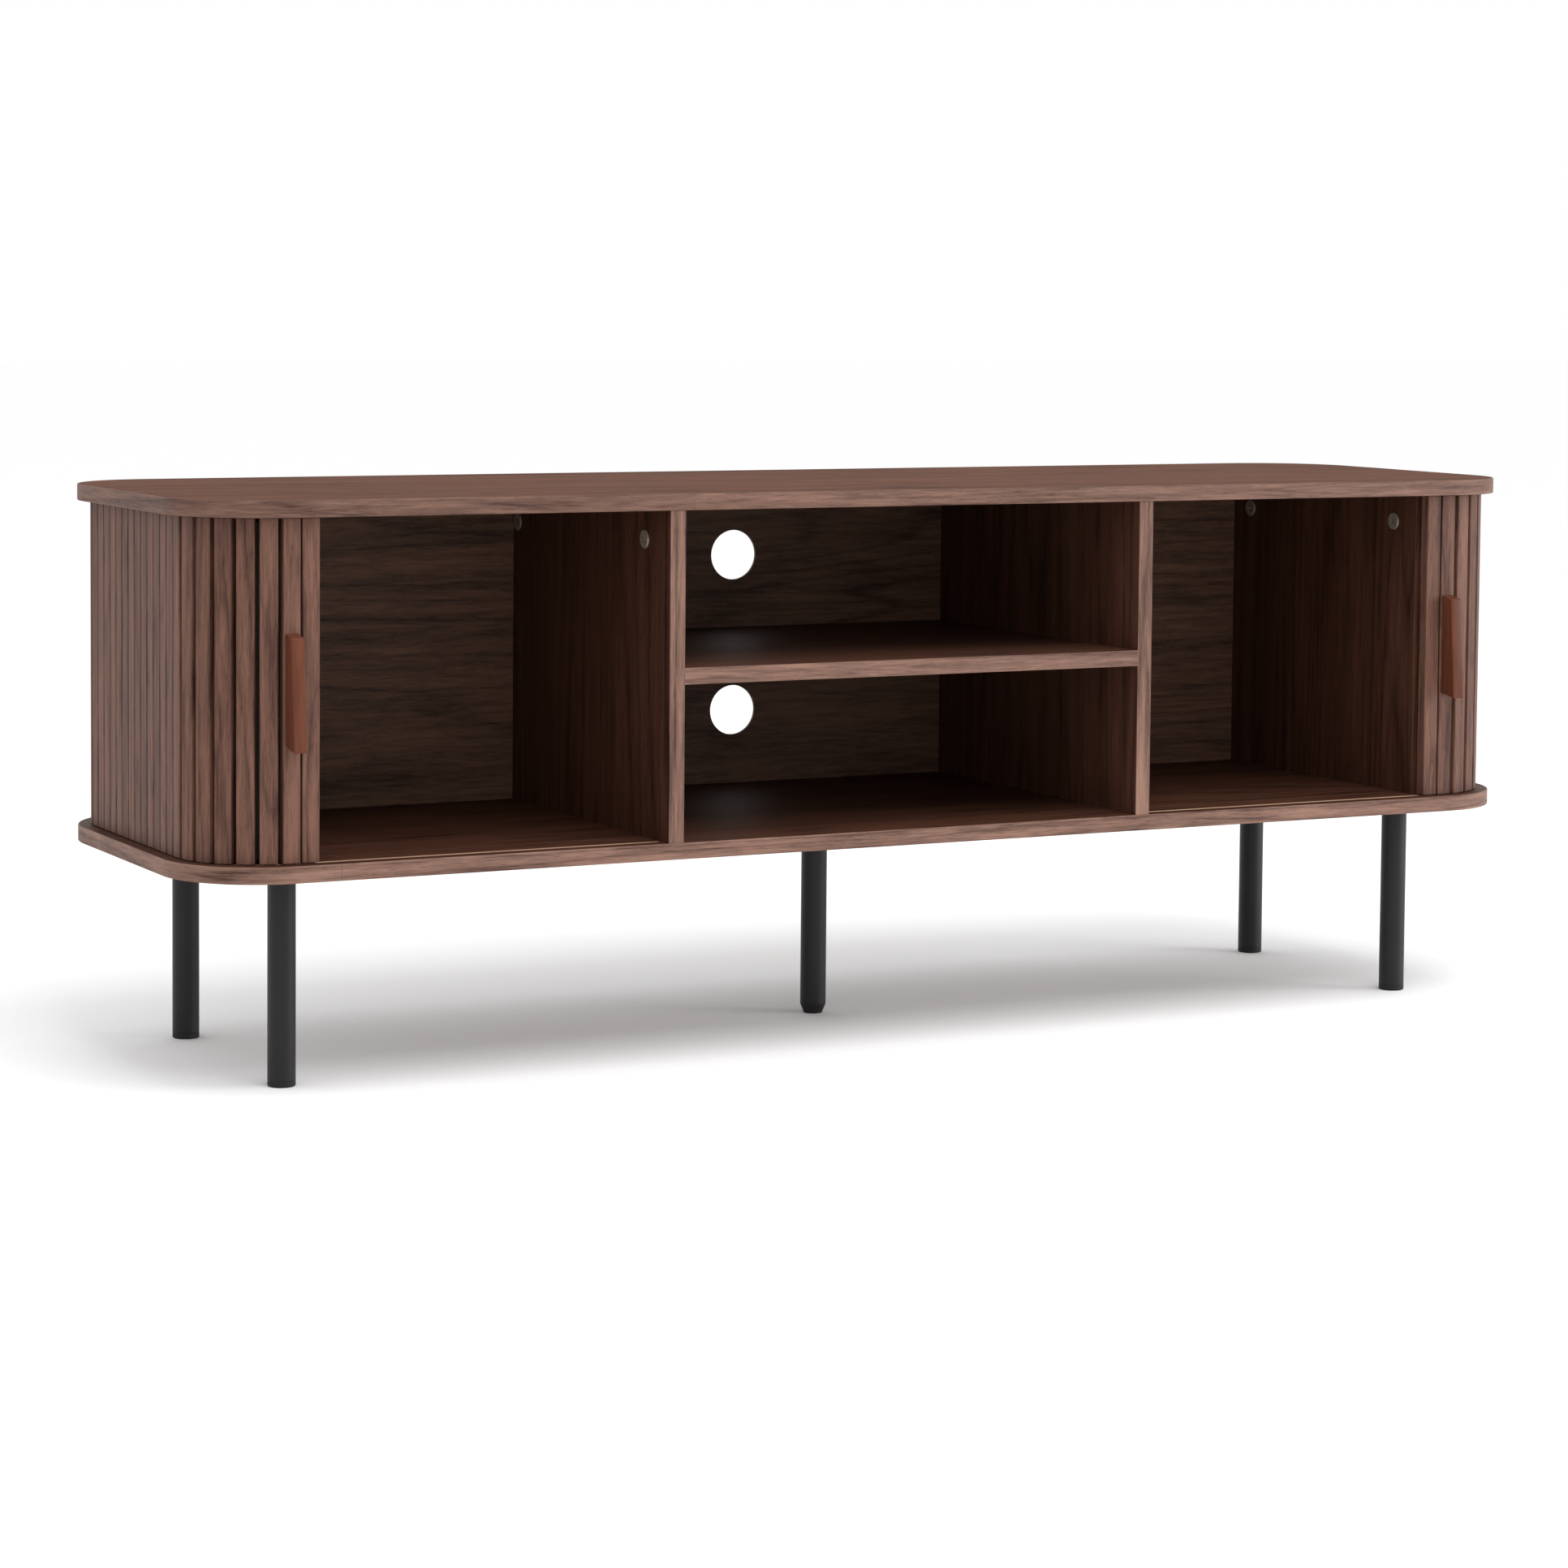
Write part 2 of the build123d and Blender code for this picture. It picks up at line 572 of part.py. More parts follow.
def bored_slat():
    """The slat that carries the handle, bored for its screws."""
    bar = slat()
    for z in HANDLE_SCREW_Z:
        bar -= rod(0, 0, z, HANDLE_SCREW_RADIUS, SLAT_THICK, (0, 1, 0))
    return bar


def save_door(name, side):
    """Write every node of one door at its place on the track."""
    plain = slat()
    bored = bored_slat()
    for node, stations in DOOR_NODES:
        bars = []
        for station in stations:
            bar = bored if station == HANDLE_STATION else plain
            bars.append(place(bar, station, side))
        save(bars, f"{name}_door_{node}")
    save(place(handle(), HANDLE_STATION, side), f"{name}_door_handle")
    screws = [place(screw, HANDLE_STATION, side) for screw in handle_screws()]
    save(screws, f"{name}_door_handle_screws")


# ---- the whole cabinet --------------------------------------------------------------
def main():
    os.makedirs("parts", exist_ok=True)
    save(bottom_panel(), "bottom_panel")
    save(top_panel(), "top_panel")
    save(edge_band(LEG_HEIGHT, BOTTOM_SEAM_X, -1), "bottom_edge_band")
    save(edge_band(CEILING_Z, TOP_SEAM_X, 1), "top_edge_band")
    save(centre_shelf(), "centre_shelf")
    save(centre_back_panel(), "centre_back_panel")
    for name, side in SIDES.items():
        save(divider(side), f"{name}_divider")
        save(side_board(side), f"{name}_side_board")
        save(side_back_panel(side), f"{name}_back_panel")
        save_door(name, side)
    for name, (x, y) in LEGS.items():
        is_centre = name == "leg_centre"
        save(leg(x, y, FOOT_HEIGHT if is_centre else GLIDE_HEIGHT), name)
        if not is_centre:
            save(glide(x, y), name.replace("leg", "glide"))
    save(centre_insert(), "centre_leg_insert")
    save(centre_foot(), "centre_foot")
    save(leg_screws(), "leg_screws")
    save(cam_discs(), "cam_discs")
    save(cam_bolts(), "cam_bolts")
    save(wood_dowels(), "wood_dowels")
    save(board_screws(), "board_screws")



main()
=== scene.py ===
"""Finishes a walnut media cabinet with two tambour doors and sets it on a pale studio floor."""

import math

import bpy
from mathutils import Matrix, Vector


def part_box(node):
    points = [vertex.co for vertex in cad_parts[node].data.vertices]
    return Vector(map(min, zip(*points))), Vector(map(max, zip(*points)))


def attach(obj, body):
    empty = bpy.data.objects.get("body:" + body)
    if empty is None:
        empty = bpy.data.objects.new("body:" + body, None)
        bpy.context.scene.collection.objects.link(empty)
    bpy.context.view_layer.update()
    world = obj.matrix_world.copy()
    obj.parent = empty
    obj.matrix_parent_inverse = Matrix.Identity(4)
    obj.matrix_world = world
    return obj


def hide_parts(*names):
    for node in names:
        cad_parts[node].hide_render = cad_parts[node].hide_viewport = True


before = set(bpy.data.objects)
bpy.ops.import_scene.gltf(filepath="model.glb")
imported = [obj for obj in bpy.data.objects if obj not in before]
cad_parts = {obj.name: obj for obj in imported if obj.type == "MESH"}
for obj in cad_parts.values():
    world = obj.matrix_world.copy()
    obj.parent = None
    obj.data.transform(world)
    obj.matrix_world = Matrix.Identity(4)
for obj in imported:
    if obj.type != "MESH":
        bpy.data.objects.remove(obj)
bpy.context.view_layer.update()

bl_info = {
    "name": "Media Cabinet",
    "version": (1, 0, 0),
    "blender": (4, 5, 0),
    "location": "View3D > Sidebar > Media Cabinet",
    "description": "Finishes a walnut media cabinet with tambour doors and sets it on a studio floor",
    "category": "Object",
}

MM = 0.001

# The canvas line of a door: front straight, front corner, side, rear corner, rear straight.
CORNER_SLATS = 6
SIDE_SLATS = 13
LAST_STATION = 43
LEAD_STATION = -1
PITCH = 17.5 * MM
CORNER_CENTRE = Vector((610.0 * MM, 113.75 * MM))
TRACK_RADIUS = CORNER_SLATS * PITCH * 2 / math.pi

# The stations that each body of a door carries.
DOOR_STATIONS = {
    "front": (-1, 0),
    "slat_03": (1, 1),
    "slat_04": (2, 2),
    "slats_05_to_08": (3, 6),
    "slat_09": (7, 7),
    "slat_10": (8, 8),
    "slats_11_to_21": (9, 19),
    "slat_22": (20, 20),
    "slat_23": (21, 21),
    "slats_24_to_27": (22, 25),
    "slat_28": (26, 26),
    "slat_29": (27, 27),
    "slats_30_to_45": (28, 43),
}
SIDES = {"left": -1, "right": 1}

# The canvas stops this far from the middle of the first and last slats.
CANVAS_END = 6.9 * MM
SLAT_TONGUE = 5.0 * MM

# Heights between which bare board shows in the door grooves, and the front faces of the uprights and shelf.
LOWER_GROOVE = (198.6 * MM, 204.7 * MM)
UPPER_GROOVE = (505.3 * MM, 511.4 * MM)
BOARD_FRONT = -202.0 * MM

# The wedge of a handle: its top front edge set back and lowered, its bottom rear edge raised.
HANDLE_SETBACK = 7.5 * MM
HANDLE_TOP_DROP = 3.0 * MM
HANDLE_FOOT_RISE = 4.0 * MM

# Grain directions, as the scale of the coordinates along X, Y and Z.
ALONG_X = (0.05, 1.0, 1.0)
UPRIGHT = (1.0, 1.0, 0.05)
UPRIGHT_SLAT = (1.0, 1.0, 0.075)
ROUND_BAND = (0.06, 0.06, 1.0)
ALONG_X_BACK = (0.07, 1.0, 1.0)

# The tone of one growth ring, from its dark line through to the next one.
RING_STOPS = ((0.16, 0.62), (0.55, 1.0), (0.86, 0.72))
RING_END = 0.05

SLAT_EDGE_RADIUS = 0.6 * MM
HANDLE_EDGE_RADIUS = 1.0 * MM
# The arris mask runs from 0 to 1 between these values; the arris gets a painted highlight.
ARRIS_HIGHLIGHT_FROM, ARRIS_HIGHLIGHT_TO = 0.03, 0.30
WOOD_BUMP = 0.06 * MM
HANDLE_BUMP = 0.03 * MM
WEAVE_BUMP = 0.1 * MM
THREAD_PITCH = 0.8 * MM

# The camera: place in metres, then turn, downward tilt and roll in degrees.
CAMERA_PLACE = (-1.8353, -3.4753, 0.7045)
CAMERA_ANGLES = (27.374, 3.667, 0.483)
CAMERA_SENSOR = 36.0
CAMERA_SHIFT = -0.15
CAMERA_REACH = 100.0

# The lamps: place and size in metres, all aimed at the middle of the cabinet.
LAMP_TARGET = (0.0, 0.0, 0.35)
KEY_PLACE, KEY_SIZE = (3.8, -2.4, 0.9), 2.0
TOP_PLACE, TOP_SIZE = (0.0, -1.7, 3.4), 2.4


# ---- settings -----------------------------------------------------------------------
def colour(name, description, default):
    """A colour setting."""
    return bpy.props.FloatVectorProperty(
        name=name, description=description, default=default, subtype="COLOR", min=0.0, max=1.0, size=3
    )


def length(name, description, default):
    """A length setting, in metres."""
    return bpy.props.FloatProperty(
        name=name, description=description, default=default, subtype="DISTANCE", unit="LENGTH", min=0.0
    )


class CabinetWoodSettings(bpy.types.PropertyGroup):
    """Colours and grain of the walnut-grain boards, bands and slats"""

    # The panel colours are darker than the wood's own tone: painted shade for the insides of the bays.
    shaded_panel_light: colour("Panel light", "Lightest wood between the grain lines", (0.0875, 0.0348, 0.0197))
    shaded_panel_dark: colour("Panel dark", "Darkest grain line of the panels", (0.0205, 0.0074, 0.0042))
    top_light: colour("Top light", "Lightest wood of the top panel", (0.135, 0.0535, 0.0303))
    top_dark: colour("Top dark", "Darkest grain line of the top panel", (0.0315, 0.0114, 0.0065))
    edge_light: colour("Band light", "Lightest wood of the edge bands", (0.2386, 0.1336, 0.0983))
    top_edge_light: colour("Top band light", "Lightest wood of the top band", (0.1909, 0.1049, 0.0762))
    edge_dark: colour("Band dark", "Darkest grain line of the edge bands", (0.0485, 0.0205, 0.0148))
    slat_light: colour("Slat light", "Lightest wood of the slats", (0.1595, 0.0756, 0.0518))
    slat_dark: colour("Slat dark", "Darkest grain line of the slats", (0.0364, 0.0136, 0.0091))
    back_light: colour("Back light", "Lightest wood of the thin back boards", (0.1534, 0.0798, 0.0491))
    back_dark: colour("Back dark", "Darkest grain line of the back boards", (0.0375, 0.0175, 0.0117))
    core: colour("Core", "Bare board inside the grooves and holes", (0.5909, 0.3939, 0.2659))
    edge_radius: length("Edge softness", "Radius at which board edges catch the light", 0.7 * MM)


class CabinetFittingSettings(bpy.types.PropertyGroup):
    """Colours and sizes of the handles, legs, fittings and canvas"""

    handle: colour("Handle", "Red-brown of the door handles", (0.1, 0.0305, 0.0155))
    steel: colour("Black steel", "Powder coat of the legs", (0.0075, 0.0075, 0.0079))
    plastic: colour("Black plastic", "Glides and levelling foot", (0.0075, 0.0075, 0.0075))
    zinc: colour("Zinc", "Cam discs", (0.34, 0.28, 0.23))
    plated: colour("Plated steel", "Screws and bolts", (0.4333, 0.4333, 0.4167))
    beech: colour("Beech", "Dowels", (0.4333, 0.275, 0.15))
    canvas: colour("Canvas", "Cloth that joins the slats", (0.0091, 0.0076, 0.0076))
    canvas_thickness: length("Canvas thickness", "Thickness of the cloth behind the slats", 0.7 * MM)
    canvas_inset: length("Canvas inset", "From the slats' ends to the canvas hem", 3.0 * MM)
    hem_depth: length("Hem depth", "Depth of the folded hem along the canvas", 9.0 * MM)
    handle_bevel: length("Handle edge", "Rounding of the handle's edges", 1.1 * MM)


class CabinetStageSettings(bpy.types.PropertyGroup):
    """Floor, lights and camera"""

    floor: colour("Floor", "Pale floor", (0.94, 0.94, 0.94))
    floor_size: length("Floor size", "Side of the square floor", 60.0)
    backdrop: bpy.props.FloatProperty(
        name="Backdrop", description="Brightness of the plain backdrop", default=1.0, min=0.0
    )
    dome: bpy.props.FloatProperty(
        name="Dome", description="Strength of the even light from all round", default=1.06, min=0.0
    )
    key: bpy.props.FloatProperty(
        name="Key light", description="Power of the lamp at the right", default=84.0, unit="POWER"
    )
    top: bpy.props.FloatProperty(
        name="Top light", description="Power of the lamp above and in front", default=70.0, unit="POWER"
    )
    lens: bpy.props.FloatProperty(name="Lens", description="Focal length", default=93.33, unit="CAMERA")


# ---- node helpers -------------------------------------------------------------------
def node(tree, kind, inputs=None, **settings):
    """One shader node, its inputs set to values or joined to sockets."""
    made = tree.nodes.new(kind)
    for name, value in settings.items():
        setattr(made, name, value)
    for name, value in (inputs or {}).items():
        socket = made.inputs[name]
        if isinstance(value, bpy.types.NodeSocket):
            tree.links.new(value, socket)
        else:
            socket.default_value = value
    return made


def calc(tree, operation, first, second=0.0, clamp=False):
    """One sum on two numbers."""
    sockets = {0: first, 1: second}
    return node(tree, "ShaderNodeMath", sockets, operation=operation, use_clamp=clamp).outputs[0]


def blend_colours(tree, amount, low, high, mode="MIX"):
    """low at 0, high at 1."""
    sockets = {0: amount, 6: low, 7: high}
    return node(tree, "ShaderNodeMix", sockets, data_type="RGBA", blend_type=mode).outputs[2]


def remap(tree, value, low, high, to_low=0.0, to_high=1.0):
    """value from low..high to to_low..to_high, held at both ends."""
    sockets = {"Value": value, "From Min": low, "From Max": high, "To Min": to_low, "To Max": to_high}
    return node(tree, "ShaderNodeMapRange", sockets).outputs[0]


def noise(tree, vector, scale, detail=2.0, roughness=0.5, distortion=0.0):
    """A noise value from 0 to 1."""
    sockets = {
        "Vector": vector,
        "Scale": scale,
        "Detail": detail,
        "Roughness": roughness,
        "Distortion": distortion,
    }
    return node(tree, "ShaderNodeTexNoise", sockets).outputs["Fac"]


def stretched(tree, place, scale):
    """Object coordinates drawn out along the grain."""
    return node(tree, "ShaderNodeMapping", {"Vector": place, "Scale": scale}).outputs[0]


def new_finish(name):
    """An empty node material with its shader joined to the output."""
    finish = bpy.data.materials.new(name)
    finish.use_nodes = True
    tree = finish.node_tree
    return finish, tree, tree.nodes["Principled BSDF"]


def soft_edge(tree, radius):
    """The rounded normal near edges, and a mask that is 1 on an arris, where a highlight is painted."""
    rounded = node(tree, "ShaderNodeBevel", {"Radius": radius}, samples=4).outputs[0]
    flat = node(tree, "ShaderNodeNewGeometry").outputs["Normal"]
    dot = node(tree, "ShaderNodeVectorMath", {0: rounded, 1: flat}, operation="DOT_PRODUCT").outputs["Value"]
    away = calc(tree, "SUBTRACT", 1.0, dot)
    return rounded, remap(tree, away, ARRIS_HIGHLIGHT_FROM, ARRIS_HIGHLIGHT_TO)


def add_bump(tree, shader, height, distance, normal):
    """Bump on top of a normal."""
    sockets = {"Height": height, "Distance": distance, "Strength": 1.0, "Normal": normal}
    bump = node(tree, "ShaderNodeBump", sockets)
    tree.links.new(bump.outputs[0], shader.inputs["Normal"])


# ---- finishes -----------------------------------------------------------------------
def slat_chance(tree, place):
    """A random colour for each slat, from its station on the track."""
    split = node(tree, "ShaderNodeSeparateXYZ", {0: place})
    x, y = split.outputs[0], split.outputs[1]
    along = calc(tree, "SUBTRACT", calc(tree, "ABSOLUTE", x), CORNER_CENTRE.x)
    across = calc(tree, "SUBTRACT", calc(tree, "ABSOLUTE", y), CORNER_CENTRE.y)
    turn = calc(tree, "ARCTAN2", calc(tree, "MAXIMUM", along), calc(tree, "MAXIMUM", across))
    straight = calc(tree, "SUBTRACT", calc(tree, "MINIMUM", along), calc(tree, "MINIMUM", across))
    steps = calc(tree, "DIVIDE", straight, PITCH)
    corner = calc(tree, "DIVIDE", turn, math.pi / 2 / CORNER_SLATS)
    station = calc(tree, "FLOOR", calc(tree, "ADD", calc(tree, "ADD", steps, corner), 0.5))
    sockets = {0: station, 1: calc(tree, "SIGN", x), 2: calc(tree, "SIGN", y)}
    cell = node(tree, "ShaderNodeCombineXYZ", sockets).outputs[0]
    white = node(tree, "ShaderNodeTexWhiteNoise", {"Vector": cell}, noise_dimensions="3D")
    return white.outputs["Color"], white.outputs["Value"]


def ring_lines(tree, figure, rings):
    """Growth rings: a sharp dark line that fades to light wood and back."""
    ring = calc(tree, "FRACT", calc(tree, "MULTIPLY", figure, rings))
    ramp = node(tree, "ShaderNodeValToRGB", {0: ring})
    stops = ramp.color_ramp.elements
    stops[0].position, stops[0].color = 0.0, (0.0, 0.0, 0.0, 1)
    stops[1].position, stops[1].color = 1.0, (RING_END, RING_END, RING_END, 1)
    for position, value in RING_STOPS:
        stops.new(position).color = (value, value, value, 1)
    return ramp.outputs[0]


def show_core(tree, place, wood, heights, bare):
    """Bare board between two heights, in the grooves."""
    low, high = heights
    height = node(tree, "ShaderNodeSeparateXYZ", {0: place}).outputs[2]
    above = calc(tree, "GREATER_THAN", height, low)
    inside = calc(tree, "MULTIPLY", above, calc(tree, "LESS_THAN", height, high))
    chips = noise(tree, place, 1400.0, 3.0)
    board = blend_colours(tree, chips, tuple(0.6 * c for c in bare) + (1,), (*bare, 1))
    return blend_colours(tree, inside, wood, board)


def walnut(
    name, light, dark, grain, rings, edge_radius, seed,
    figure_scale=11.0, slats=False, core=None, front=None, gloss=0.2, matt=0.46,
):
    """A walnut-grain surface: cathedral figure, fibres, pores, tone changes and edges painted lighter as a
    highlight.

    grain is the scale of the coordinates along X, Y and Z, small along the grain. core is the heights of the
    grooves and their colour, and front the colours of the faces in front of BOARD_FRONT.
    """
    finish, tree, shader = new_finish(name)
    place = node(tree, "ShaderNodeTexCoord").outputs["Object"]
    drawn = stretched(tree, place, grain)
    shift = (seed * 3.7, seed * 1.9, seed * 5.3)
    drawn = node(tree, "ShaderNodeVectorMath", {0: drawn, 1: shift}, operation="ADD").outputs[0]
    if slats:
        tint, chance = slat_chance(tree, place)
        sockets = {0: tint, 1: (7.0, 7.0, 7.0), 2: drawn}
        drawn = node(tree, "ShaderNodeVectorMath", sockets, operation="MULTIPLY_ADD").outputs[0]
    figure = noise(tree, drawn, figure_scale, 1.6, 0.42, 0.35)
    fibre = noise(tree, drawn, 620.0, 4.0, 0.62)
    streak = noise(tree, drawn, 175.0, 4.0, 0.66, 0.3)
    pore = remap(tree, noise(tree, drawn, 1500.0, 2.0, 0.5), 0.60, 0.72)
    broad = noise(tree, drawn, 4.5, 1.0)
    bands = noise(tree, drawn, 32.0, 2.0, 0.5, 0.2)
    layers = [
        (remap(tree, fibre, 0.36, 0.64), 0.34),
        (remap(tree, streak, 0.37, 0.63), 0.46),
        (remap(tree, broad, 0.35, 0.65), 0.14),
        (remap(tree, bands, 0.36, 0.64), 0.18),
    ]
    if slats:
        layers.append((calc(tree, "SUBTRACT", chance, 0.5), 0.24))
    tone = calc(tree, "MULTIPLY", ring_lines(tree, figure, rings), 0.44)
    for layer, weight in layers:
        tone = calc(tree, "ADD", tone, calc(tree, "MULTIPLY", layer, weight))
    darker = calc(tree, "ADD", calc(tree, "MULTIPLY", pore, 0.34), 0.27)
    tone = calc(tree, "SUBTRACT", tone, darker, clamp=True)
    wood = blend_colours(tree, tone, (*dark, 1), (*light, 1))
    # Front faces take the band colours; the faces behind keep the board colours, which for the panels are
    # darkened as painted shade.
    if front:
        front_light, front_dark = front
        depth = node(tree, "ShaderNodeSeparateXYZ", {0: place}).outputs[1]
        banded = blend_colours(tree, tone, (*front_dark, 1), (*front_light, 1))
        wood = blend_colours(tree, calc(tree, "LESS_THAN", depth, BOARD_FRONT), wood, banded)
    rounded, highlit_arris = soft_edge(tree, edge_radius)
    # Painted highlight: the arrises blend towards a paler wood colour.
    pale = tuple(min(1.0, 1.7 * c + 0.03) for c in light)
    wood = blend_colours(tree, calc(tree, "MULTIPLY", highlit_arris, 0.55), wood, (*pale, 1))
    if core:
        wood = show_core(tree, place, wood, *core)
    tree.links.new(wood, shader.inputs["Base Color"])
    rough = calc(tree, "SUBTRACT", calc(tree, "MULTIPLY", streak, 0.22), calc(tree, "MULTIPLY", highlit_arris, 0.10))
    tree.links.new(calc(tree, "ADD", rough, matt), shader.inputs["Roughness"])
    shader.inputs["Specular IOR Level"].default_value = gloss
    height = calc(tree, "SUBTRACT", calc(tree, "MULTIPLY", fibre, 0.55), pore)
    add_bump(tree, shader, height, WOOD_BUMP, rounded)
    return finish


def handle_finish(name, base):
    """Smooth stained wood with faint upright grain and edges painted lighter, partly rubbed wear and partly
    painted highlight.
    """
    finish, tree, shader = new_finish(name)
    place = node(tree, "ShaderNodeTexCoord").outputs["Object"]
    drawn = stretched(tree, place, (1.0, 1.0, 0.06))
    grain = noise(tree, drawn, 260.0, 3.0, 0.6)
    broad = noise(tree, drawn, 60.0, 1.0)
    tone = calc(tree, "ADD", calc(tree, "MULTIPLY", grain, 0.5), calc(tree, "MULTIPLY", broad, 0.5))
    dark = tuple(0.62 * c for c in base)
    light = tuple(1.25 * c for c in base)
    wood = blend_colours(tree, remap(tree, tone, 0.3, 0.7), (*dark, 1), (*light, 1))
    rounded, highlit_arris = soft_edge(tree, HANDLE_EDGE_RADIUS)
    # The handle's arrises are painted paler: partly rubbed wear, partly painted highlight.
    pale = tuple(min(1.0, 1.5 * c + 0.05) for c in base)
    wood = blend_colours(tree, calc(tree, "MULTIPLY", highlit_arris, 0.6), wood, (*pale, 1))
    tree.links.new(wood, shader.inputs["Base Color"])
    tree.links.new(remap(tree, grain, 0.2, 0.8, 0.34, 0.48), shader.inputs["Roughness"])
    shader.inputs["Specular IOR Level"].default_value = 0.14
    add_bump(tree, shader, grain, HANDLE_BUMP, rounded)
    return finish


def coat_finish(
    name, base, grit_scale, roughness, bump, metallic=0.0, radius=2.5 * MM, arris_highlight_amount=0.25, gloss=0.5
):
    """A painted, plated or moulded surface: fine grit, blotches and edges painted lighter as a highlight."""
    finish, tree, shader = new_finish(name)
    place = node(tree, "ShaderNodeTexCoord").outputs["Object"]
    grit = noise(tree, place, grit_scale, 3.0, 0.6)
    blotch = noise(tree, place, 38.0, 2.0)
    dark = tuple(0.72 * c for c in base)
    light = tuple(min(1.0, 1.3 * c) for c in base)
    tone = calc(tree, "ADD", calc(tree, "MULTIPLY", grit, 0.6), calc(tree, "MULTIPLY", blotch, 0.4))
    paint = blend_colours(tree, remap(tree, tone, 0.3, 0.7), (*dark, 1), (*light, 1))
    rounded, highlit_arris = soft_edge(tree, radius)
    # Painted highlight: the arrises blend towards a paler colour.
    pale = tuple(min(1.0, 1.6 * c + 0.02) for c in base)
    paint = blend_colours(tree, calc(tree, "MULTIPLY", highlit_arris, arris_highlight_amount), paint, (*pale, 1))
    tree.links.new(paint, shader.inputs["Base Color"])
    rough = remap(tree, grit, 0.2, 0.8, roughness - 0.07, roughness + 0.07)
    tree.links.new(rough, shader.inputs["Roughness"])
    shader.inputs["Metallic"].default_value = metallic
    shader.inputs["Specular IOR Level"].default_value = gloss
    add_bump(tree, shader, grit, bump, rounded)
    return finish


def canvas_finish(name, base):
    """Black woven cloth: threads along and across, with uneven dye."""
    finish, tree, shader = new_finish(name)
    place = node(tree, "ShaderNodeTexCoord").outputs["Object"]
    split = node(tree, "ShaderNodeSeparateXYZ", {0: place})
    level = calc(tree, "ADD", split.outputs[0], split.outputs[1])
    thread = math.tau / THREAD_PITCH
    warp = calc(tree, "SINE", calc(tree, "MULTIPLY", level, thread))
    weft = calc(tree, "SINE", calc(tree, "MULTIPLY", split.outputs[2], thread))
    weave = calc(tree, "MULTIPLY", warp, weft)
    dye = noise(tree, place, 120.0, 3.0)
    tone = calc(tree, "ADD", remap(tree, weave, -1.0, 1.0, 0.0, 0.5), calc(tree, "MULTIPLY", dye, 0.5))
    dark = tuple(0.5 * c for c in base)
    light = tuple(1.7 * c for c in base)
    cloth = blend_colours(tree, tone, (*dark, 1), (*light, 1))
    tree.links.new(cloth, shader.inputs["Base Color"])
    tree.links.new(remap(tree, weave, -1.0, 1.0, 0.78, 0.95), shader.inputs["Roughness"])
    shader.inputs["Sheen Weight"].default_value = 0.1
    normal = node(tree, "ShaderNodeNewGeometry").outputs["Normal"]
    add_bump(tree, shader, weave, WEAVE_BUMP, normal)
    return finish


def paint_nodes(names, finish):
    """Put a finish in every material slot of the named CAD nodes."""
    for name in names:
        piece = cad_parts[name]
        if not piece.material_slots:
            piece.data.materials.append(finish)
        for place in piece.material_slots:
            place.material = finish


def paint_piece(piece, finish):
    """Give a new piece its finish."""
    piece.data.materials.clear()
    piece.data.materials.append(finish)


# ---- shaping helpers ----------------------------------------------------------------
def deselect_all():
    """Nothing selected and nothing active."""
    if bpy.context.object and bpy.context.object.mode != "OBJECT":
        bpy.ops.object.mode_set(mode="OBJECT")
    bpy.ops.object.select_all(action="DESELECT")
    bpy.context.view_layer.objects.active = None


def pick(piece):
    """Only this piece selected and active."""
    deselect_all()
    piece.select_set(True)
    bpy.context.view_layer.objects.active = piece


def settle(piece):
    """Put the piece's place, turn and size into its mesh."""
    pick(piece)
    bpy.ops.object.transform_apply(location=True, rotation=True, scale=True)


def select_faces(piece, wanted):
    """In edit mode, select the faces that wanted(face) picks."""
    bpy.ops.object.mode_set(mode="EDIT")
    bpy.ops.mesh.select_mode(type="FACE")
    bpy.ops.mesh.select_all(action="DESELECT")
    bpy.ops.object.mode_set(mode="OBJECT")
    for face in piece.data.polygons:
        face.select = wanted(face)
    bpy.ops.object.mode_set(mode="EDIT")


def apply_modifiers(piece):
    """Apply every modifier of the piece."""
    pick(piece)
    for modifier in list(piece.modifiers):
        bpy.ops.object.modifier_apply(modifier=modifier.name)


def track_station(station):
    """Point on the right-hand canvas line and the outward direction, as an angle."""
    run = station * PITCH
    corner_run = CORNER_SLATS * PITCH
    side_run = SIDE_SLATS * PITCH
    cx, cy = CORNER_CENTRE
    if run < 0:
        return cx + run, -cy - TRACK_RADIUS, -math.pi / 2
    if run < corner_run:
        turn = run / TRACK_RADIUS
        return cx + TRACK_RADIUS * math.sin(turn), -cy - TRACK_RADIUS * math.cos(turn), turn - math.pi / 2
    run -= corner_run
    if run < side_run:
        return cx + TRACK_RADIUS, run - cy, 0.0
    run -= side_run
    if run < corner_run:
        turn = run / TRACK_RADIUS
        return cx + TRACK_RADIUS * math.cos(turn), cy + TRACK_RADIUS * math.sin(turn), turn
    run -= corner_run
    return cx - run, cy + TRACK_RADIUS, math.pi / 2


# ---- pieces -------------------------------------------------------------------------
def canvas_edges(station):
    """Half widths of the canvas behind one slat, towards the lead and towards the tail."""
    corner_end = CORNER_SLATS + SIDE_SLATS
    bent = 0 < station < CORNER_SLATS or corner_end < station < corner_end + CORNER_SLATS
    half = TRACK_RADIUS * math.tan(PITCH / 2 / TRACK_RADIUS) if bent else PITCH / 2
    lead = CANVAS_END if station == LEAD_STATION else half
    tail = CANVAS_END if station == LAST_STATION else half
    return lead, tail


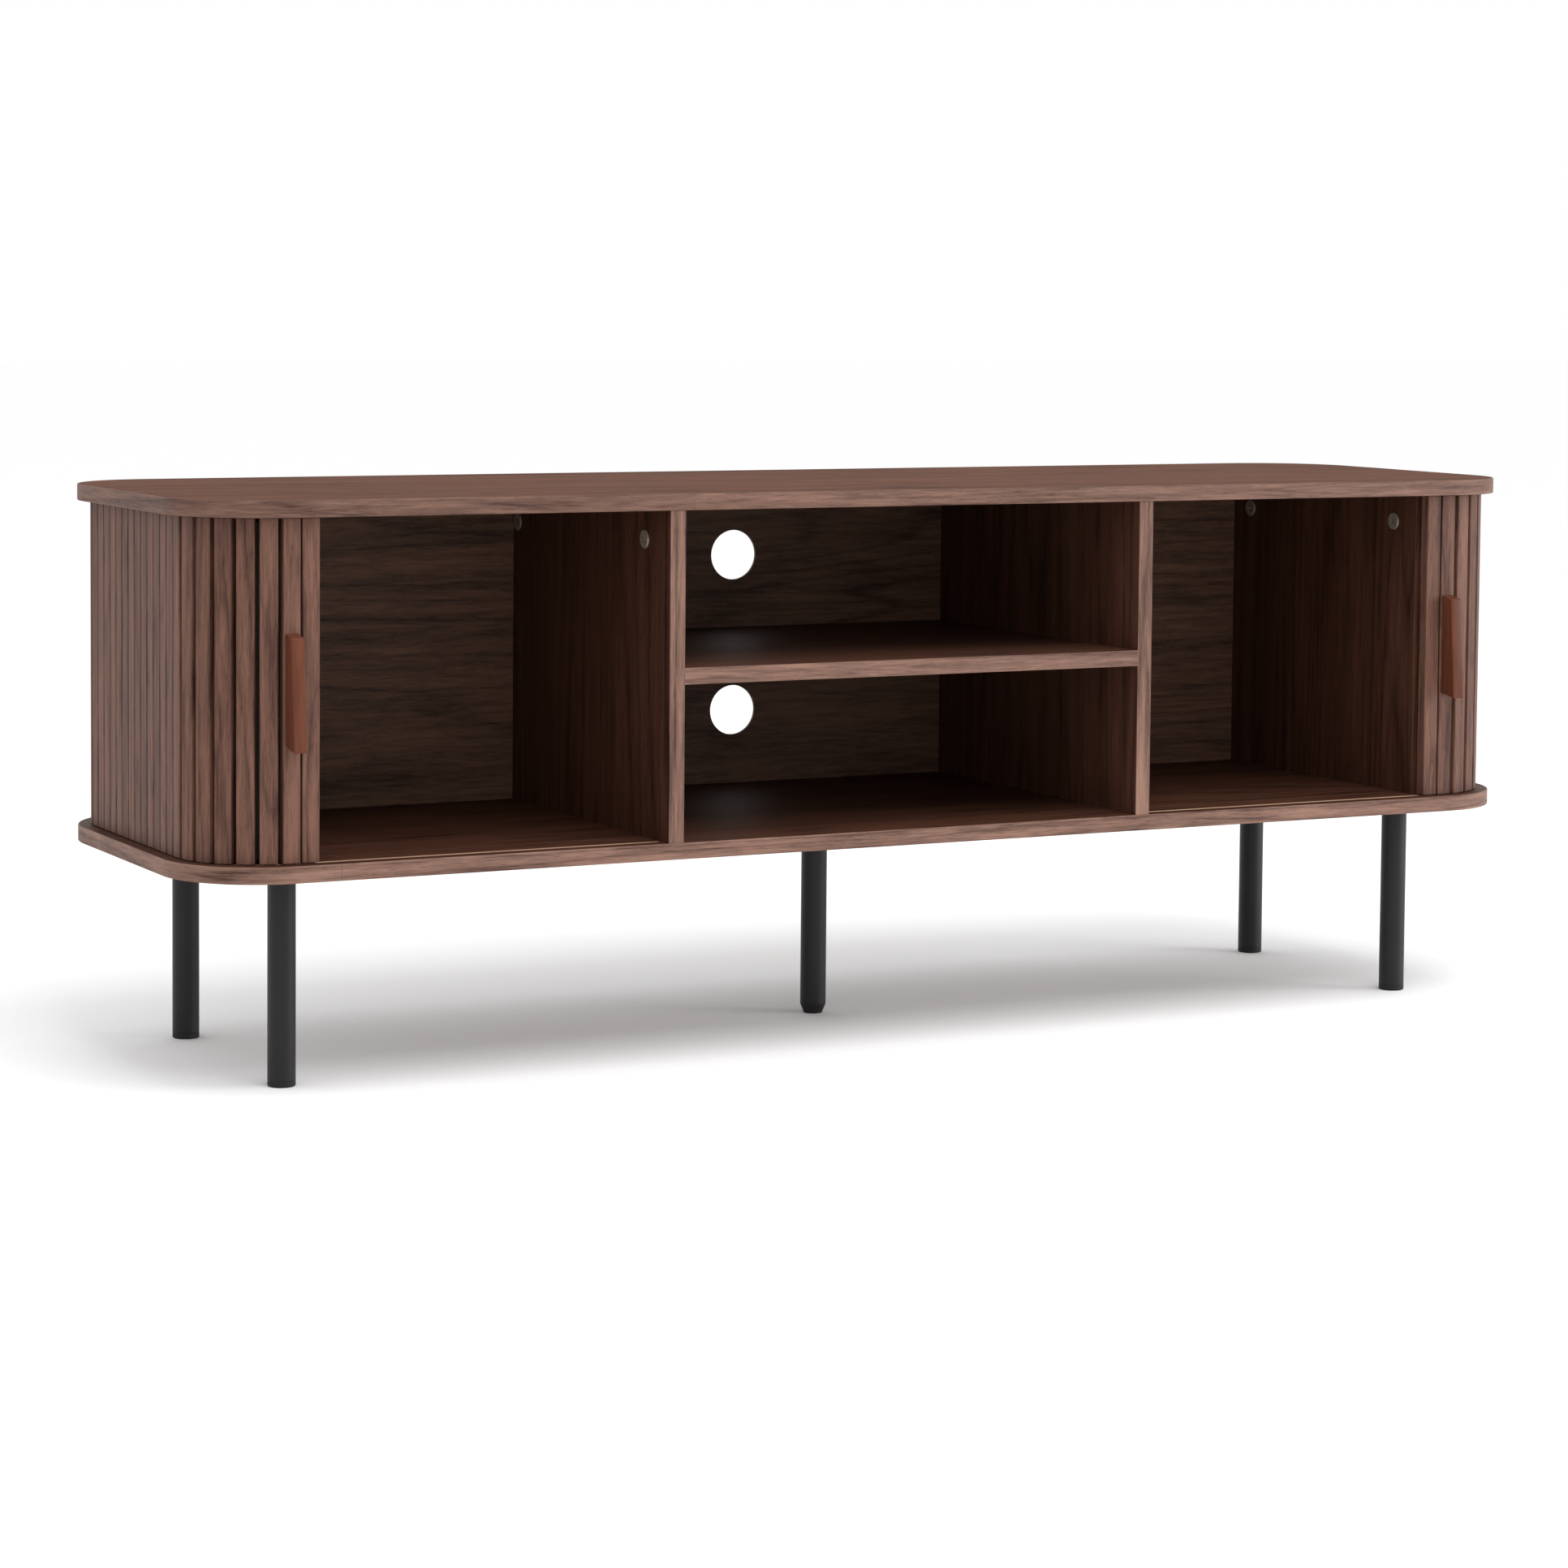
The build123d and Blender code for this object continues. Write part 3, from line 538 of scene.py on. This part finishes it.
def canvas_strip(name, first, last, side, low, high, fitting):
    """The cloth behind one group of slats, with a folded hem at its top and bottom."""
    parts = []
    for station in range(first, last + 1):
        x, y, out = track_station(station)
        lead, tail = canvas_edges(station)
        along = Vector((-math.sin(out), math.cos(out)))
        centre = Vector((x, y)) + along * (tail - lead) / 2
        deselect_all()
        bpy.ops.mesh.primitive_plane_add(
            size=1.0,
            location=(side * centre.x, centre.y, (low + high) / 2),
            rotation=(math.pi / 2, 0.0, side * (out + math.pi / 2)),
        )
        strip = bpy.context.object
        strip.scale = (lead + tail, high - low, 1.0)
        parts.append(strip)
    deselect_all()
    for strip in parts:
        strip.select_set(True)
    bpy.context.view_layer.objects.active = parts[0]
    if len(parts) > 1:
        bpy.ops.object.join()
    cloth = bpy.context.object
    cloth.name = name
    settle(cloth)
    bpy.ops.object.mode_set(mode="EDIT")
    bpy.ops.mesh.select_all(action="SELECT")
    bpy.ops.mesh.remove_doubles(threshold=0.05 * MM)
    for level in (low + fitting.hem_depth, high - fitting.hem_depth):
        bpy.ops.mesh.select_all(action="SELECT")
        bpy.ops.mesh.bisect(plane_co=(0.0, 0.0, level), plane_no=(0.0, 0.0, 1.0))
    bpy.ops.object.mode_set(mode="OBJECT")
    solid = cloth.modifiers.new("Thickness", "SOLIDIFY")
    solid.thickness = fitting.canvas_thickness
    solid.offset = -1.0
    solid.use_even_offset = True
    apply_modifiers(cloth)
    select_faces(cloth, lambda face: is_hem(face, side, low, high, fitting))
    bpy.ops.mesh.extrude_region_shrink_fatten(
        TRANSFORM_OT_shrink_fatten={"value": 0.5 * fitting.canvas_thickness}
    )
    bpy.ops.mesh.select_all(action="SELECT")
    bpy.ops.mesh.normals_make_consistent(inside=False)
    bpy.ops.object.mode_set(mode="OBJECT")
    return cloth


def is_hem(face, side, low, high, fitting):
    """True on the inner face of the cloth, within the hem at its top or bottom."""
    x, y, z = face.center
    past_x = max(abs(x) - CORNER_CENTRE.x, 0.0)
    past_y = max(abs(y) - CORNER_CENTRE.y, 0.0)
    out = Vector((side * past_x, math.copysign(past_y, y), 0.0))
    if abs(x) < CORNER_CENTRE.x:
        out = Vector((0.0, math.copysign(1.0, y), 0.0))
    inner = face.normal.dot(out.normalized()) < -0.7
    return inner and (z < low + fitting.hem_depth or z > high - fitting.hem_depth)


def shape_handle(name, side, fitting):
    """A wedge that reaches further out at its foot, with every edge rounded."""
    low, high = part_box(f"{name}_door_handle")
    middle = (low + high) / 2
    size = high - low
    deselect_all()
    bpy.ops.mesh.primitive_cube_add(size=1.0, location=middle)
    handle = bpy.context.object
    handle.name = f"{name}_handle"
    handle.scale = size
    settle(handle)
    bpy.ops.object.mode_set(mode="EDIT")
    bpy.ops.mesh.select_mode(type="VERT")
    bpy.ops.mesh.select_all(action="DESELECT")
    bpy.ops.object.mode_set(mode="OBJECT")
    for vertex in handle.data.vertices:
        vertex.select = vertex.co.y < middle.y and vertex.co.z > middle.z
    bpy.ops.object.mode_set(mode="EDIT")
    bpy.ops.transform.translate(value=(0.0, HANDLE_SETBACK, -HANDLE_TOP_DROP))
    bpy.ops.mesh.select_all(action="DESELECT")
    bpy.ops.object.mode_set(mode="OBJECT")
    for vertex in handle.data.vertices:
        vertex.select = vertex.co.y > middle.y and vertex.co.z < middle.z
    bpy.ops.object.mode_set(mode="EDIT")
    bpy.ops.transform.translate(value=(0.0, 0.0, HANDLE_FOOT_RISE))
    bpy.ops.mesh.select_mode(type="EDGE")
    bpy.ops.mesh.select_all(action="SELECT")
    bpy.ops.mesh.bevel(offset=fitting.handle_bevel, segments=3, profile=0.5, affect="EDGES")
    bpy.ops.object.mode_set(mode="OBJECT")
    pick(handle)
    bpy.ops.object.shade_smooth_by_angle(angle=math.radians(40))
    return handle


# ---- operators ----------------------------------------------------------------------
def need(condition, message):
    """Stop the script with a plain message."""
    if not condition:
        raise RuntimeError(message)


class CABINET_OT_panels(bpy.types.Operator):
    """Finish the top and bottom panels, the shelf, the dividers and the side boards"""

    bl_idname = "cabinet.panels"
    bl_label = "Finish Panels"

    def execute(self, context):
        wood = context.scene.cabinet_wood
        # The panel colours carry painted shade for the insides of the bays; the top panel has its own
        # lighter colours.
        light, dark = wood.shaded_panel_light, wood.shaded_panel_dark
        radius = wood.edge_radius
        bottom = walnut(
            "walnut_bottom_panel", light, dark, ALONG_X, 15.0, radius, 2,
            core=(LOWER_GROOVE, wood.core), gloss=0.12,
        )
        paint_nodes(["bottom_panel"], bottom)
        top = walnut(
            "walnut_top_panel", wood.top_light, wood.top_dark, ALONG_X, 15.0, radius, 3,
            core=(UPPER_GROOVE, wood.core), gloss=0.05, matt=0.62,
        )
        paint_nodes(["top_panel"], top)
        front = (wood.edge_light, wood.edge_dark)
        shelf = walnut("walnut_shelf", light, dark, ALONG_X, 14.0, radius, 5, front=front)
        paint_nodes(["centre_shelf"], shelf)
        upright_boards = ["left_divider", "right_divider", "left_side_board", "right_side_board"]
        for seed, name in enumerate(upright_boards):
            board = walnut(f"walnut_{name}", light, dark, UPRIGHT, 15.0, radius, 8 + seed, front=front)
            paint_nodes([name], board)
        return {"FINISHED"}


class CABINET_OT_bands(bpy.types.Operator):
    """Finish the edge bands of the top and bottom panels"""

    bl_idname = "cabinet.bands"
    bl_label = "Finish Edge Bands"

    def execute(self, context):
        wood = context.scene.cabinet_wood
        bands = {
            "top_edge_band": (14, wood.top_edge_light),
            "bottom_edge_band": (17, wood.edge_light),
        }
        for name, (seed, light) in bands.items():
            finish = walnut(
                f"walnut_{name}", light, wood.edge_dark, ROUND_BAND, 9.0, wood.edge_radius, seed,
                figure_scale=26.0,
            )
            paint_nodes([name], finish)
        return {"FINISHED"}


class CABINET_OT_backs(bpy.types.Operator):
    """Finish the three thin back boards"""

    bl_idname = "cabinet.backs"
    bl_label = "Finish Back Boards"

    def execute(self, context):
        wood = context.scene.cabinet_wood
        for seed, name in enumerate(["centre_back_panel", "left_back_panel", "right_back_panel"]):
            finish = walnut(
                f"walnut_{name}", wood.back_light, wood.back_dark, ALONG_X_BACK, 13.0, wood.edge_radius,
                18 + seed, figure_scale=9.0,
            )
            paint_nodes([name], finish)
        return {"FINISHED"}


class CABINET_OT_slats(bpy.types.Operator):
    """Finish every slat of both doors, each with its own cut of the grain"""

    bl_idname = "cabinet.slats"
    bl_label = "Finish Slats"

    def execute(self, context):
        wood = context.scene.cabinet_wood
        finish = walnut(
            "walnut_slat", wood.slat_light, wood.slat_dark, UPRIGHT_SLAT, 9.0, SLAT_EDGE_RADIUS, 23,
            figure_scale=24.0, slats=True,
        )
        names = [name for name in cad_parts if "_door_slat" in name]
        need(names, "the cabinet has no slats")
        paint_nodes(names, finish)
        return {"FINISHED"}


class CABINET_OT_canvas(bpy.types.Operator):
    """Make the canvas that joins the slats of both doors, one strip for each group that moves together"""

    bl_idname = "cabinet.canvas"
    bl_label = "Make Canvas"

    def execute(self, context):
        fitting = context.scene.cabinet_fitting
        finish = canvas_finish("black_canvas", fitting.canvas)
        slat_low, slat_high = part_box("left_door_slat_03")
        low = slat_low.z + SLAT_TONGUE + fitting.canvas_inset
        high = slat_high.z - SLAT_TONGUE - fitting.canvas_inset
        for name, side in SIDES.items():
            for group, (first, last) in DOOR_STATIONS.items():
                cloth = canvas_strip(f"{name}_canvas_{group}", first, last, side, low, high, fitting)
                paint_piece(cloth, finish)
                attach(cloth, f"{name}_door_{group}")
        return {"FINISHED"}


class CABINET_OT_handles(bpy.types.Operator):
    """Shape the two door handles and finish them"""

    bl_idname = "cabinet.handles"
    bl_label = "Make Handles"

    def execute(self, context):
        fitting = context.scene.cabinet_fitting
        finish = handle_finish("handle_wood_stain", fitting.handle)
        for name, side in SIDES.items():
            handle = shape_handle(name, side, fitting)
            paint_piece(handle, finish)
            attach(handle, f"{name}_door_front")
            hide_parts(f"{name}_door_handle")
        paint_nodes([f"{name}_door_handle" for name in SIDES], finish)
        return {"FINISHED"}


class CABINET_OT_legs(bpy.types.Operator):
    """Finish the legs, glides and levelling foot"""

    bl_idname = "cabinet.legs"
    bl_label = "Finish Legs"

    def execute(self, context):
        fitting = context.scene.cabinet_fitting
        steel = coat_finish("black_powder_coat", fitting.steel, 1900.0, 0.46, 0.05 * MM, gloss=0.28)
        plastic = coat_finish(
            "black_moulded_plastic", fitting.plastic, 900.0, 0.58, 0.03 * MM, radius=1.0 * MM, gloss=0.28
        )
        names = list(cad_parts)
        paint_nodes([n for n in names if n.startswith("leg_") and n != "leg_screws"], steel)
        paint_nodes([n for n in names if n.startswith("glide_")], plastic)
        paint_nodes(["centre_leg_insert", "centre_foot"], plastic)
        return {"FINISHED"}


class CABINET_OT_fixings(bpy.types.Operator):
    """Finish the cam discs, bolts, screws and dowels"""

    bl_idname = "cabinet.fixings"
    bl_label = "Finish Fixings"

    def execute(self, context):
        fitting = context.scene.cabinet_fitting
        zinc = coat_finish("dull_zinc", fitting.zinc, 700.0, 0.42, 0.04 * MM, 0.55, 0.5 * MM, 0.4)
        plated = coat_finish("plated_steel", fitting.plated, 1100.0, 0.34, 0.02 * MM, 1.0, 0.3 * MM, 0.4)
        beech = coat_finish("beech_dowel", fitting.beech, 500.0, 0.62, 0.04 * MM, 0.0, 0.5 * MM, 0.2)
        paint_nodes(["cam_discs"], zinc)
        screws = ["cam_bolts", "board_screws", "leg_screws"]
        paint_nodes(screws + [f"{name}_door_handle_screws" for name in SIDES], plated)
        paint_nodes(["wood_dowels"], beech)
        return {"FINISHED"}


class CABINET_OT_stage(bpy.types.Operator):
    """Set up the pale floor, the even light with two large lamps, and the camera"""

    bl_idname = "cabinet.stage"
    bl_label = "Set Up Stage"

    def execute(self, context):
        stage = context.scene.cabinet_stage
        deselect_all()
        bpy.ops.mesh.primitive_plane_add(size=stage.floor_size, location=(0.0, 0.0, 0.0))
        floor = bpy.context.object
        floor.name = "studio_floor"
        settle(floor)
        paint, tree, shader = new_finish("pale_floor")
        place = node(tree, "ShaderNodeTexCoord").outputs["Object"]
        mottle = noise(tree, place, 6.0, 3.0)
        dusty = tuple(0.985 * c for c in stage.floor)
        tint = blend_colours(tree, mottle, (*dusty, 1), (*stage.floor, 1))
        tree.links.new(tint, shader.inputs["Base Color"])
        shader.inputs["Roughness"].default_value = 0.9
        shader.inputs["Specular IOR Level"].default_value = 0.2
        paint_piece(floor, paint)
        light_room(context, stage)
        context.scene.view_settings.view_transform = "Standard"
        add_lamp("key_light", KEY_PLACE, KEY_SIZE, stage.key)
        add_lamp("top_light", TOP_PLACE, TOP_SIZE, stage.top)
        add_camera(context, stage)
        return {"FINISHED"}


def add_lamp(name, place, size, power):
    """A large square lamp aimed at the cabinet."""
    deselect_all()
    bpy.ops.object.light_add(type="AREA", location=place)
    lamp = bpy.context.object
    lamp.name = name
    lamp.data.shape = "RECTANGLE"
    lamp.data.size = size
    lamp.data.size_y = size
    lamp.data.energy = power
    aim = Vector(LAMP_TARGET) - Vector(place)
    lamp.rotation_euler = aim.to_track_quat("-Z", "Y").to_euler()
    lamp.visible_camera = False


def light_room(context, stage):
    """Even light from all round, in front of a plain white backdrop."""
    world = bpy.data.worlds.new("studio")
    context.scene.world = world
    world.use_nodes = True
    tree = world.node_tree
    sky = tree.nodes["Background"]
    sky.inputs["Color"].default_value = (1.0, 1.0, 1.0, 1.0)
    seen = node(tree, "ShaderNodeLightPath").outputs["Is Camera Ray"]
    strength = remap(tree, seen, 0.0, 1.0, stage.dome, stage.backdrop)
    tree.links.new(strength, sky.inputs["Strength"])


def add_camera(context, stage):
    """The camera at the front left, a little above the cabinet."""
    yaw, pitch, roll = (math.radians(angle) for angle in CAMERA_ANGLES)
    ahead = Vector((math.sin(yaw) * math.cos(pitch), math.cos(yaw) * math.cos(pitch), -math.sin(pitch)))
    level = Vector((math.cos(yaw), -math.sin(yaw), 0.0))
    upright = level.cross(ahead)
    right = level * math.cos(roll) + upright * math.sin(roll)
    up = upright * math.cos(roll) - level * math.sin(roll)
    deselect_all()
    bpy.ops.object.camera_add(location=CAMERA_PLACE)
    camera = bpy.context.object
    camera.name = "camera"
    turn = Matrix((right, up, -ahead)).transposed()
    camera.rotation_euler = turn.to_euler()
    camera.data.lens = stage.lens
    camera.data.sensor_width = CAMERA_SENSOR
    camera.data.shift_y = CAMERA_SHIFT
    camera.data.clip_end = CAMERA_REACH
    context.scene.camera = camera


class CABINET_PT_tools(bpy.types.Panel):
    """The cabinet's steps and settings"""

    bl_label = "Media Cabinet"
    bl_idname = "CABINET_PT_tools"
    bl_space_type = "VIEW_3D"
    bl_region_type = "UI"
    bl_category = "Media Cabinet"

    def draw(self, context):
        for step in STEPS:
            self.layout.operator(step.bl_idname)
        for settings in SETTINGS:
            group = getattr(context.scene, settings)
            box = self.layout.box()
            for name in group.__annotations__:
                box.prop(group, name)


STEPS = (
    CABINET_OT_panels,
    CABINET_OT_bands,
    CABINET_OT_backs,
    CABINET_OT_slats,
    CABINET_OT_canvas,
    CABINET_OT_handles,
    CABINET_OT_legs,
    CABINET_OT_fixings,
    CABINET_OT_stage,
)
SETTINGS = {
    "cabinet_wood": CabinetWoodSettings,
    "cabinet_fitting": CabinetFittingSettings,
    "cabinet_stage": CabinetStageSettings,
}


def register():
    """Add the settings, the steps and the panel."""
    for kind in (*SETTINGS.values(), *STEPS, CABINET_PT_tools):
        bpy.utils.register_class(kind)
    for name, kind in SETTINGS.items():
        setattr(bpy.types.Scene, name, bpy.props.PointerProperty(type=kind))


def unregister():
    """Take them away again."""
    for name in SETTINGS:
        delattr(bpy.types.Scene, name)
    for kind in reversed((*SETTINGS.values(), *STEPS, CABINET_PT_tools)):
        bpy.utils.unregister_class(kind)


def main():
    """Run every step in order."""
    register()
    bpy.ops.cabinet.panels()
    bpy.ops.cabinet.bands()
    bpy.ops.cabinet.backs()
    bpy.ops.cabinet.slats()
    bpy.ops.cabinet.canvas()
    bpy.ops.cabinet.handles()
    bpy.ops.cabinet.legs()
    bpy.ops.cabinet.fixings()
    bpy.ops.cabinet.stage()


if __name__ == "__main__":
    main()
